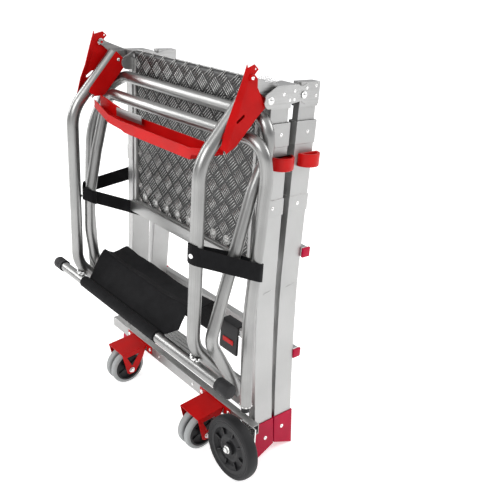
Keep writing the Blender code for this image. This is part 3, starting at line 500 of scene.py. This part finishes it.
pressed = grained("pressed_bracket", (0.50, 0.50, 0.495), 0.40, (240, 12, 240), depth=0.02, dark=0.8)
RAIL_PIVOT = (-0.158, 1.174)
ARM_FOOT = Vector((-0.093, 1.115))
ARM_NARROWING = 0.42
BRACKET_FACE = 0.3695
for node in ("front_bracket_left", "front_bracket_right", "rear_bracket_left", "rear_bracket_right"):
    bracket = softened(node, 0.0007, pressed)
    if node.startswith("rear"):
        continue
    along = (Vector(RAIL_PIVOT) - ARM_FOOT).normalized()
    for vert in bracket.data.vertices:
        place = Vector((vert.co.y, vert.co.z)) - ARM_FOOT
        reach = place.dot(along)
        if reach > 0.014 and abs(vert.co.x) > 0.352 and vert.co.y < -0.1:
            slim = place - along * reach
            vert.co.y -= slim.x * ARM_NARROWING
            vert.co.z -= slim.y * ARM_NARROWING
heads = bmesh.new()
rear_heads = bmesh.new()
for side in (-1, 1):
    dome(heads, (side * BRACKET_FACE, *ARM_FOOT), (side, 0, 0), 0.0080, 0.0050, 0.0015, 24)
    for y, z, radius in ((-0.050, 1.128, 0.0038), (-0.028, 1.112, 0.0034), (-0.012, 1.112, 0.0034),
                         (-0.012, 1.134, 0.0034)):
        dome(heads, (side * BRACKET_FACE, y, z), (side, 0, 0), radius, 0.0018, 0.0005)
    dome(rear_heads, (side * 0.3714, HINGE.y, HINGE.z), (side, 0, 0), 0.0074, 0.0040, 0.0012, 24)
    for y, z in ((0.052, 1.134), (0.088, 1.112), (0.086, 1.138)):
        dome(rear_heads, (side * 0.3495, y, z), (side, 0, 0), 0.0036, 0.0018, 0.0005)
group("bracket_rivets", heads, bright_rivet, "front_inner")
group("hinge_rivets", rear_heads, bright_rivet, "rear_inner")
for node in ("hinge_pin_left", "hinge_pin_right", "platform_hinge_rod"):
    softened(node, 0.0003, zinc, 1)

chrome = grained("chrome_spring", (0.88, 0.88, 0.88), 0.12, (90, 90, 90), depth=0.002, spread=0.05)
softened("spring_latch", 0.0012, chrome)
COIL_RADIUS = 0.0052
POINTS_PER_TURN = 12
coil = bpy.data.curves.new("latch_coil", "CURVE")
coil.dimensions = "3D"
coil.bevel_depth = 0.0009
coil.bevel_resolution = 3
coil.use_fill_caps = True
line = coil.splines.new("POLY")
line.points.add(8 * POINTS_PER_TURN)
for index, point in enumerate(line.points):
    angle = index / POINTS_PER_TURN * math.tau
    point.co = (0.324 + COIL_RADIUS * math.cos(angle), -0.118 + index * 0.00062,
                1.1635 + COIL_RADIUS * math.sin(angle), 1)
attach(add_object("latch_coil", coil, chrome), "latch")


# Locking knobs
# Moulded red loops on the outer faces of the stiles, pulled out against a spring to free them.

red_knob = glossy("red_knob", (0.50, 0.003, 0.003), 0.40, 0.25, 0.0003, 900, 0.2)
for section in ("front", "rear"):
    for side in ("left", "right"):
        softened(f"{section}_knob_{side}", 0.0050, red_knob, 4, flat_angle=0.2)


# Platform
# A sheet of five-bar tread plate in a folded aluminium frame, fixed along its lower edge by a row
# of round-headed bolts. Its upper edge is rolled round the hinge rod.

# The sheet and its bars are the same aluminium. The ground between the bars is painted near black as painted
# shade, and the bars are painted much lighter as a painted highlight. The streaks and clouds on both are
# grain.
painted_shade_tread_ground = grained("tread_plate_ground_painted_shade", (0.075, 0.075, 0.075), 0.46, (60, 60, 60), blotch=10, dark=0.80)
painted_highlight_tread_bars = grained("tread_plate_bars_painted_highlight", (0.44, 0.44, 0.43), 0.30, (160, 160, 160), depth=0.01, spread=0.08)
low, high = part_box("tread_plate")
frame_low, frame_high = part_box("platform_frame")
PLATE_Y = low.y
HEAD = (-0.059, 1.141)
HEAD_OUT = 0.0118
SHEET_THICK = 0.0016
HEAD_STEPS = 14
sheet_side = [Vector((PLATE_Y, low.z)), Vector((-0.0706, 1.137))]
for step in range(HEAD_STEPS + 1):
    angle = math.radians(182 - step * 214 / HEAD_STEPS)
    sheet_side.append(Vector(HEAD) + Vector((math.cos(angle), math.sin(angle))) * HEAD_OUT)
facing = []
for index in range(len(sheet_side)):
    one = sheet_side[max(0, index - 1)]
    two = sheet_side[min(len(sheet_side) - 1, index + 1)]
    along = (two - one).normalized()
    facing.append(Vector((-along.y, along.x)))
plate = bmesh.new()
HALF = (high.x - low.x) / 2
rows = []
for place, out in zip(sheet_side, facing):
    front, back = place, place - out * SHEET_THICK
    rows.append([plate.verts.new((x, y, z)) for x, (y, z) in
                 ((-HALF, front), (HALF, front), (HALF, back), (-HALF, back))])
for row, following in zip(rows, rows[1:]):
    for index in range(4):
        after = (index + 1) % 4
        plate.faces.new((row[index], row[after], following[after], following[index]))
plate.faces.new(rows[0])
plate.faces.new(rows[-1])
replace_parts(group("tread_sheet", plate, painted_shade_tread_ground, "platform", 40), "tread_plate")


def along_sheet(distance):
    """The place on the sheet's face at a distance up from its lower edge, and the way it faces there."""
    for one, two, turn_one, turn_two in zip(sheet_side, sheet_side[1:], facing, facing[1:]):
        step = (two - one).length
        if distance <= step:
            share = distance / step
            return one.lerp(two, share), turn_one.lerp(turn_two, share).normalized()
        distance -= step
    return sheet_side[-1], facing[-1]


bars = bmesh.new()
STEP = 0.0580 / 2
SPACING = 0.0076
BARS = 5
BAR_SIZE = Matrix.Diagonal((0.0340, 0.0024, 0.0030, 1))
columns = int((2 * HALF) / STEP) + 1
top = sum((two - one).length for one, two in zip(sheet_side, sheet_side[1:])) - 0.036
for column in range(columns):
    for row in range(int(top / STEP) + 1):
        if (column + row) % 2:
            continue
        x = (column - (columns - 1) / 2) * STEP
        angle = math.radians(45 if column % 2 else -45)
        for number in range(BARS):
            offset = (number - BARS // 2) * SPACING
            middle = Vector((x - math.sin(angle) * offset, (row + 0.5) * STEP + math.cos(angle) * offset))
            if abs(middle.x) > HALF - 0.010 or not 0.012 < middle.y < top:
                continue
            (y, z), out = along_sheet(middle.y)
            up = Vector((0, out.y, -out.x))
            basis = Matrix((Vector((1, 0, 0)), up, Vector((0, *out)))).transposed().to_4x4()
            place = Matrix.Translation((middle.x, y, z)) @ basis @ Matrix.Rotation(angle, 4, "Z")
            bmesh.ops.create_cube(bars, size=1, matrix=place @ BAR_SIZE)
ease_all(bars, 0.0007, 1)
group("tread_bars", bars, painted_highlight_tread_bars, "platform", 50)
rim = bmesh.new()
(y, z), out = along_sheet(top + 0.010)
plate_round(rim, Matrix.Translation((0, y, z)) @ ACROSS, 16, 0.0022, 0.0022, 2 * HALF)
group("tread_rolled_edge", rim, satin_across, "platform")

sides = bmesh.new()
FRAME_HALF = frame_high.x - 0.0075
INSIDE = FRAME_HALF - 0.012
for spans in (((-FRAME_HALF, -INSIDE), (-0.072, -0.048), (0.612, 1.128)),
              ((INSIDE, FRAME_HALF), (-0.072, -0.048), (0.612, 1.128)),
              ((-INSIDE, INSIDE), (-0.0716, -0.0484), (0.6124, 0.652)),
              ((frame_low.x, frame_high.x), (-0.084, -0.068), (0.612, 0.650)),
              ((-INSIDE, INSIDE), (-0.0565, -0.0500), (0.86, 0.895))):
    block(sides, [sum(span) / 2 for span in spans], [span[1] - span[0] for span in spans])
ease_all(sides, 0.0012)
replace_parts(group("platform_surround", sides, satin_across, "platform", 40), "platform_frame")
bolts = bmesh.new()
for number in range(9):
    dome(bolts, (-0.252 + number * 0.063, low.y - 0.0008, 0.672), (0, -1, 0), 0.0115, 0.0062, 0.0016, 20)
dull_bolt = grained("dull_bolt", (0.46, 0.46, 0.45), 0.40, (120, 120, 120), depth=0.01, spread=0.1, dark=0.6)
group("platform_bolts", bolts, dull_bolt, "platform")


# Guard rail tubes
# Round aluminium tube, bent cold and left brushed. The posts are welded to the cross tube, and the
# lower ends of the rails are pressed flat where they are bolted.

brushed_tube = grained("brushed_tube", (0.32, 0.32, 0.315), 0.34, (5, 60, 1), depth=0.012, spread=0.08,
                       blotch=9, dark=0.76, uv=True)
POST_X = 0.331
POST_RADIUS = 0.0185
RAIL_RADIUS = 0.0175
CROSS_TUBE = (-0.2755, 0.394)
CROSS_HALF = 0.475


def rounded_route(points, radii, steps=12):
    """The route through the points, with each inner corner rounded by an arc."""
    route = [Vector(points[0])]
    for before, corner, after, radius in zip(points, points[1:], points[2:], radii):
        before, corner, after = Vector(before), Vector(corner), Vector(after)
        back = (before - corner).normalized()
        forth = (after - corner).normalized()
        half = back.angle(forth) / 2
        reach = radius / math.tan(half)
        centre = corner + (back + forth).normalized() * radius / math.sin(half)
        start = corner + back * reach - centre
        sweep = start.rotation_difference(corner + forth * reach - centre)
        for step in range(steps + 1):
            part = sweep.copy()
            part.angle = sweep.angle * step / steps
            route.append(centre + part @ start)
    route.append(Vector(points[-1]))
    return route


def tube(name, route, radius, material, body, node, shape=None):
    """A closed tube along a route, as a mesh, which stands for a frame node."""
    curve = bpy.data.curves.new(name, "CURVE")
    curve.dimensions = "3D"
    curve.bevel_depth = radius
    curve.bevel_resolution = 10
    curve.use_fill_caps = True
    spline = curve.splines.new("POLY")
    spline.points.add(len(route) - 1)
    for point, place in zip(spline.points, route):
        point.co = (*place, 1)
    drawn = add_object(name + "_line", curve)
    graph = bpy.context.evaluated_depsgraph_get()
    mesh = bpy.data.meshes.new_from_object(drawn.evaluated_get(graph))
    bpy.data.objects.remove(drawn)
    bm = bmesh.new()
    bm.from_mesh(mesh)
    bmesh.ops.remove_doubles(bm, verts=bm.verts, dist=1e-5)
    if shape:
        for vert in bm.verts:
            vert.co = shape(vert.co.copy())
    bm.to_mesh(mesh)
    bm.free()
    mesh.name = name
    smooth(mesh, 50)
    obj = add_object(name, mesh, material)
    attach(obj, body)
    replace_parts(obj, node)
    return obj


def pressed_end(co):
    """Presses the right-hand foot of the upper rail flat over its last length."""
    if co.x > 0.3 and co.z < 0.345:
        share = min(1.0, (0.345 - co.z) / 0.055)
        share = share * share * (3 - 2 * share)
        co.x = 0.369 + (co.x - 0.369) * (1 - 0.72 * share)
    return co


for side, sign in (("left", -1), ("right", 1)):
    bends = ((-0.172, 0.331), (-0.281, 0.455), (-0.279, 0.972), (-0.1290, 1.1430))
    route = rounded_route([(sign * POST_X, *yz) for yz in bends], (0.10, 0.13), 18)
    tube(f"bent_post_{side}", route, POST_RADIUS, brushed_tube, "guard_rail", f"rail_post_{side}")
UPPER_RAIL = [(-0.368, -0.198, 0.400), (-0.368, -0.210, 0.620), (-0.368, -0.196, 0.900),
              (-0.362, -0.135, 1.034), (-0.318, -0.0975, 1.072), (0.0, -0.0975, 1.0715),
              (0.366, -0.0960, 1.0715), (0.3680, -0.0890, 0.985), (0.3640, -0.1300, 0.885),
              (0.363, -0.2160, 0.585), (0.3690, -0.2520, 0.475), (0.3690, -0.1310, 0.262)]
UPPER_BENDS = (0.3, 0.3, 0.09, 0.05, 0.5, 0.050, 0.12, 0.4, 0.4, 0.06)
LOWER_RAIL = [(-0.3200, -0.2010, 0.419), (-0.3200, -0.2230, 0.470), (-0.3200, -0.2370, 0.570),
              (-0.3200, -0.2340, 0.690), (-0.3220, -0.2030, 0.840), (-0.3240, -0.1560, 1.022),
              (0.0, -0.1550, 1.0220), (0.400, -0.1350, 1.0200), (0.4010, -0.1180, 0.930),
              (0.4050, -0.1500, 0.520), (0.4070, -0.1400, 0.245)]
LOWER_BENDS = (0.15, 0.3, 0.3, 0.4, 0.045, 0.9, 0.055, 0.2, 0.8)
tube("bent_upper_rail", rounded_route(UPPER_RAIL, UPPER_BENDS), RAIL_RADIUS, brushed_tube, "guard_rail",
     "upper_rail", pressed_end)
tube("bent_lower_rail", rounded_route(LOWER_RAIL, LOWER_BENDS), RAIL_RADIUS, brushed_tube, "guard_rail",
     "lower_rail")
tube("long_cross_tube", [(-CROSS_HALF, *CROSS_TUBE), (CROSS_HALF, *CROSS_TUBE)], 0.0165, brushed_tube,
     "guard_rail", "cross_tube")
CAP_PROFILE = [(0.0168, -0.032), (0.0206, -0.032), (0.0206, -0.020), (0.0201, -0.0188), (0.0206, -0.0176),
               (0.0206, 0.0130), (0.0192, 0.0160), (0.0150, 0.0170), (0.0004, 0.0170), (0.0004, 0.0004),
               (0.0168, 0.0004)]
for side, sign in (("left", -1), ("right", 1)):
    turned(f"tube_end_cap_{side}", CAP_PROFILE, (sign * CROSS_HALF, *CROSS_TUBE), (sign, 0, 0), black_rubber,
           "guard_rail", f"cross_tube_cap_{side}", 40)

weld = grained("weld_bead", (0.82, 0.82, 0.81), 0.32, (220, 220, 220), depth=0.05, spread=0.12)
beads = bmesh.new()
for side in (-1, 1):
    for number in range(15):
        angle = math.radians(-120 + number * 17)
        centre = Vector((side * POST_X + RAIL_RADIUS * math.sin(angle), -0.2700 - 0.0100 * math.cos(angle),
                         0.4150 + 0.0035 * math.cos(number * 2.1)))
        bmesh.ops.create_icosphere(beads, subdivisions=2, radius=1, matrix=Matrix.Translation(centre)
                                   @ Matrix.Diagonal((0.0042, 0.0042, 0.0036, 1)))
for number in range(10):
    angle = math.tau * number / 10
    centre = Vector((0.4070 + 0.0170 * math.cos(angle), -0.1402 + 0.0170 * math.sin(angle), 0.2480))
    bmesh.ops.create_icosphere(beads, subdivisions=2, radius=1, matrix=Matrix.Translation(centre)
                               @ Matrix.Diagonal((0.0034, 0.0034, 0.0030, 1)))
group("weld_beads", beads, weld, "guard_rail", 60)
plug = bmesh.new()
plate_round(plug, Matrix.Translation((0.4070, -0.1400, 0.2385)), 32, 0.0125, 0.0135, 0.024)
group("rail_foot_plug", plug, black_rubber, "guard_rail")


# Red sheet steel of the guard rail
# Laser-cut and folded steel, powder-coated: a clamp round the top of each post, a hook plate that
# turns on a bolt, and the bridge between the clamps. Short domed rivets hold them.

LEFT_PLATE_FORWARD = 0.015
LEFT_PLATE_INWARD = 0.0015
BOLT_CLEAR = 0.0105
for node in ("rail_clamp_left", "rail_clamp_right", "hook_plate_left", "hook_plate_right"):
    plate = softened(node, 0.0005, powder_red)
    if node == "hook_plate_left":
        for vert in plate.data.vertices:
            if math.hypot(vert.co.y - RAIL_PIVOT[0], vert.co.z - RAIL_PIVOT[1]) > BOLT_CLEAR:
                forward = max(0.0, min(1.0, (-0.148 - vert.co.y) / 0.030))
                vert.co.y -= LEFT_PLATE_FORWARD * forward
                vert.co.x -= LEFT_PLATE_INWARD * forward
softened("red_bridge", 0.0005, powder_red)
rivets = bmesh.new()
for side in (-1, 1):
    for cheek, outward in ((0.3102, -1), (0.3518, 1)):
        for y, z in ((-0.2190, 1.0180), (-0.1240, 1.1250)):
            dome(rivets, (side * cheek, y, z), (side * outward, 0, 0), 0.0046, 0.0024, 0.0008)
    dome(rivets, (side * 0.3705, *RAIL_PIVOT), (side, 0, 0), 0.0048, 0.0030)
    ring = Matrix.Translation((side * 0.3583, *RAIL_PIVOT)) @ ACROSS
    plate_round(rivets, Matrix.Translation((side * 0.0015, 0, 0)) @ ring, 24, 0.0105, 0.0105, 0.0012)
    plate_round(rivets, Matrix.Translation((side * -0.0010, 0, 0)) @ ring, 6, 0.0085, 0.0085, 0.0036)
group("rail_rivets", rivets, bright_rivet, "guard_rail")

tab = bmesh.new()
block(tab, (-0.123, -0.2010, 0.9905), (0.140, 0.0030, 0.026))
ease_all(tab, 0.0008)
group("bridge_insert", tab, satin_across, "guard_rail")


# Tool tray
# Black woven polyester: a sewn sleeve round the cross tube, a front wall, a folded crease and a
# back panel that hangs behind it. The panel sags between its stitched ends.

def woven(name, color, pitch, sheen, uv=True):
    """A plain weave of the given thread pitch, darker between its threads, with some lint."""
    made, nodes, links, shader = new_material(name)
    shader.inputs["Roughness"].default_value = 0.9
    shader.inputs["Sheen Weight"].default_value = sheen
    shader.inputs["Specular IOR Level"].default_value = 0.12
    shader.inputs["Sheen Roughness"].default_value = 0.5
    coords = nodes.new("ShaderNodeTexCoord")
    threads = []
    for direction in ("X", "Y"):
        wave = nodes.new("ShaderNodeTexWave")
        wave.bands_direction = direction
        wave.inputs["Scale"].default_value = 0.314 / pitch
        wave.inputs["Distortion"].default_value = 0.4
        links.new(coords.outputs["UV" if uv else "Object"], wave.inputs["Vector"])
        threads.append(wave)
    high = nodes.new("ShaderNodeMath")
    high.operation = "MAXIMUM"
    links.new(threads[0].outputs["Fac"], high.inputs[0])
    links.new(threads[1].outputs["Fac"], high.inputs[1])
    lint = nodes.new("ShaderNodeTexNoise")
    lint.inputs["Scale"].default_value = 35.0
    lint.inputs["Detail"].default_value = 8.0
    links.new(coords.outputs["Object"], lint.inputs["Vector"])
    mixed = nodes.new("ShaderNodeMath")
    mixed.operation = "MULTIPLY"
    links.new(high.outputs[0], mixed.inputs[0])
    links.new(lint.outputs["Fac"], mixed.inputs[1])
    tone = nodes.new("ShaderNodeValToRGB")
    tone.color_ramp.elements[0].position = 0.15
    tone.color_ramp.elements[0].color = (*(0.45 * c for c in color), 1)
    tone.color_ramp.elements[1].position = 0.62
    tone.color_ramp.elements[1].color = (*color, 1)
    links.new(mixed.outputs[0], tone.inputs[0])
    links.new(tone.outputs[0], shader.inputs["Base Color"])
    bump = nodes.new("ShaderNodeBump")
    bump.inputs["Strength"].default_value = 0.5
    bump.inputs["Distance"].default_value = 0.0003
    links.new(high.outputs[0], bump.inputs["Height"])
    links.new(bump.outputs[0], shader.inputs["Normal"])
    return made


black_canvas = woven("black_canvas", (0.011, 0.011, 0.012), 0.0012, 0.02)
SLEEVE_STEPS = 21
SLEEVE_RADIUS = 0.0186
profile = []
for step in range(SLEEVE_STEPS + 1):
    angle = math.radians(-35 - step * 330 / SLEEVE_STEPS)
    profile.append(Vector(CROSS_TUBE) + Vector((math.cos(angle), math.sin(angle))) * SLEEVE_RADIUS)
profile += [Vector(p) for p in ((-0.2560, 0.4040), (-0.2440, 0.4230), (-0.2300, 0.4520), (-0.2150, 0.4790),
                                (-0.2050, 0.4925), (-0.2005, 0.4962), (-0.1950, 0.4940), (-0.1850, 0.4860),
                                (-0.1630, 0.4770), (-0.1400, 0.4795), (-0.1200, 0.4845), (-0.1090, 0.4860),
                                (-0.1045, 0.4830), (-0.1020, 0.4700), (-0.1020, 0.4400), (-0.1010, 0.4050),
                                (-0.1000, 0.3720))]
lengths = [0.0]
for one, two in zip(profile, profile[1:]):
    lengths.append(lengths[-1] + (two - one).length)
TRAY_LENGTH = lengths[-1]


def on_profile(share):
    """The place on the cloth's profile at a share of its length, from the sleeve's hem."""
    target = share * TRAY_LENGTH
    for index in range(len(profile) - 1):
        if lengths[index + 1] >= target:
            part = (target - lengths[index]) / (lengths[index + 1] - lengths[index])
            return profile[index].lerp(profile[index + 1], part)
    return profile[-1]


bm = bmesh.new()
bmesh.ops.create_grid(bm, x_segments=70, y_segments=110, size=0.5)
weave_uv = bm.loops.layers.uv.new("UVMap")
TRAY_LEFT, TRAY_RIGHT = -0.2960, 0.2050
TRAY_WIDTH = TRAY_RIGHT - TRAY_LEFT
for face in bm.faces:
    for loop in face.loops:
        loop[weave_uv].uv = ((loop.vert.co.x + 0.5) * TRAY_WIDTH, (loop.vert.co.y + 0.5) * TRAY_LENGTH)
for vert in bm.verts:
    across, share = vert.co.x + 0.5, vert.co.y + 0.5
    place = on_profile(share)
    right_edge = TRAY_RIGHT - 0.055 * max(0.0, min(1.0, (0.345 - share) / 0.10))
    x = TRAY_LEFT + (right_edge - TRAY_LEFT) * across
    free = max(0.0, min(1.0, (share - 0.40) * 8))
    ends = math.sin(math.pi * across)
    ripple = (noise.noise(Vector((x * 9, share * 7, 3.1))) * 0.0040
              + noise.noise(Vector((x * 26, share * 18, 8))) * 0.0012)
    sag = -0.012 * ends * free
    lean = 0.0035 * math.sin(x * 21 + share * 5) * free * ends
    vert.co = (x + 0.002 * math.sin(share * 16) * free, place.x + lean + ripple * free,
               place.y + sag + ripple * free)
canvas = bpy.data.meshes.new("canvas_tray")
bm.to_mesh(canvas)
bm.free()
smooth(canvas, 80)
tray = add_object("canvas_tray", canvas, black_canvas)
wall = tray.modifiers.new("Cloth thickness", "SOLIDIFY")
wall.thickness = 0.0012
wall.offset = 0
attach(tray, "guard_rail")
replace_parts(tray, "tool_tray")


# Straps
# Black hook-and-loop webbing with a stitched overlap, riveted to itself beside the post. The left
# one goes round both rails and back past the stile.

black_webbing = woven("black_webbing", (0.009, 0.009, 0.010), 0.0016, 0.04, uv=False)
for node in ("strap_right", "strap_left"):
    softened(node, 0.0005, black_webbing)


def band_side(circles, reach):
    """The points of a band pulled tight round some circles, on the side that faces the front."""
    points = []
    for x, y, radius in circles:
        for step in range(72):
            angle = math.tau * step / 72
            points.append((x + (radius + reach) * math.cos(angle), y + (radius + reach) * math.sin(angle)))
    points.sort()
    chain = []
    for point in points:
        while len(chain) > 1 and ((chain[-1][0] - chain[-2][0]) * (point[1] - chain[-2][1])
                                  - (chain[-1][1] - chain[-2][1]) * (point[0] - chain[-2][0])) <= 1e-12:
            chain.pop()
        chain.append(point)
    return chain


STRAP_ROUND = ((POST_X, -0.280, POST_RADIUS), (0.4036, -0.1377, 0.0185), (0.3625, -0.179, 0.0265))
side = [p for p in band_side(STRAP_ROUND, 0.0030) if p[0] < 0.372]
flap = bmesh.new()
edges = []
for x, y in side:
    middle = 0.7305 - 0.36 * (y + 0.280)
    outer = Vector((x, y)) + Vector((x - 0.350, y + 0.200)).normalized() * 0.0018
    edges.append([flap.verts.new((*at, middle + rise)) for at, rise in
                  (((x, y), -0.0255), (outer, -0.0250), (outer, 0.0250), ((x, y), 0.0255))])
for one, two in zip(edges, edges[1:]):
    for index in range(4):
        after = (index + 1) % 4
        flap.faces.new((one[index], one[after], two[after], two[index]))
flap.faces.new(edges[0])
flap.faces.new(edges[-1])
group("strap_overlap", flap, black_webbing, "guard_rail")
studs = bmesh.new()
dome(studs, (0.338, -0.3030, 0.733), (0.25, -1, 0), 0.0052, 0.0026, 0.0008)
dome(studs, (-0.3280, -0.2585, 0.691), (-0.1, -1, 0), 0.0046, 0.0024, 0.0008)
group("strap_studs", studs, bright_rivet, "guard_rail")


# Keeper
# A short black moulded clip that hangs from the front rung, with a plain red mark on its face.

keeper = bmesh.new()
outline = [(-0.0540, 0.3990), (-0.0505, 0.4010), (-0.0200, 0.4010), (-0.0185, 0.3960), (-0.0205, 0.3995),
           (-0.0502, 0.3992), (-0.0502, 0.3705), (-0.0480, 0.3680), (-0.0480, 0.3080), (-0.0500, 0.3000),
           (-0.0560, 0.3020), (-0.0575, 0.3120)]
ends = [[keeper.verts.new((x, y, z)) for y, z in outline] for x in (0.176, 0.256)]
for index in range(len(outline)):
    after = (index + 1) % len(outline)
    keeper.faces.new((ends[0][index], ends[0][after], ends[1][after], ends[1][index]))
keeper.faces.new(ends[0])
keeper.faces.new(ends[1])
group("rung_keeper", keeper, black_nylon, "front_outer")
mark = bmesh.new()
block(mark, (0.216, -0.0574, 0.340), (0.050, 0.0016, 0.016))
ease_all(mark, 0.0006)
group("keeper_mark", mark, red_knob, "front_outer")


# Closing measurements

size = [[list(corner) for corner in cad_box], [list(corner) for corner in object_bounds()]]
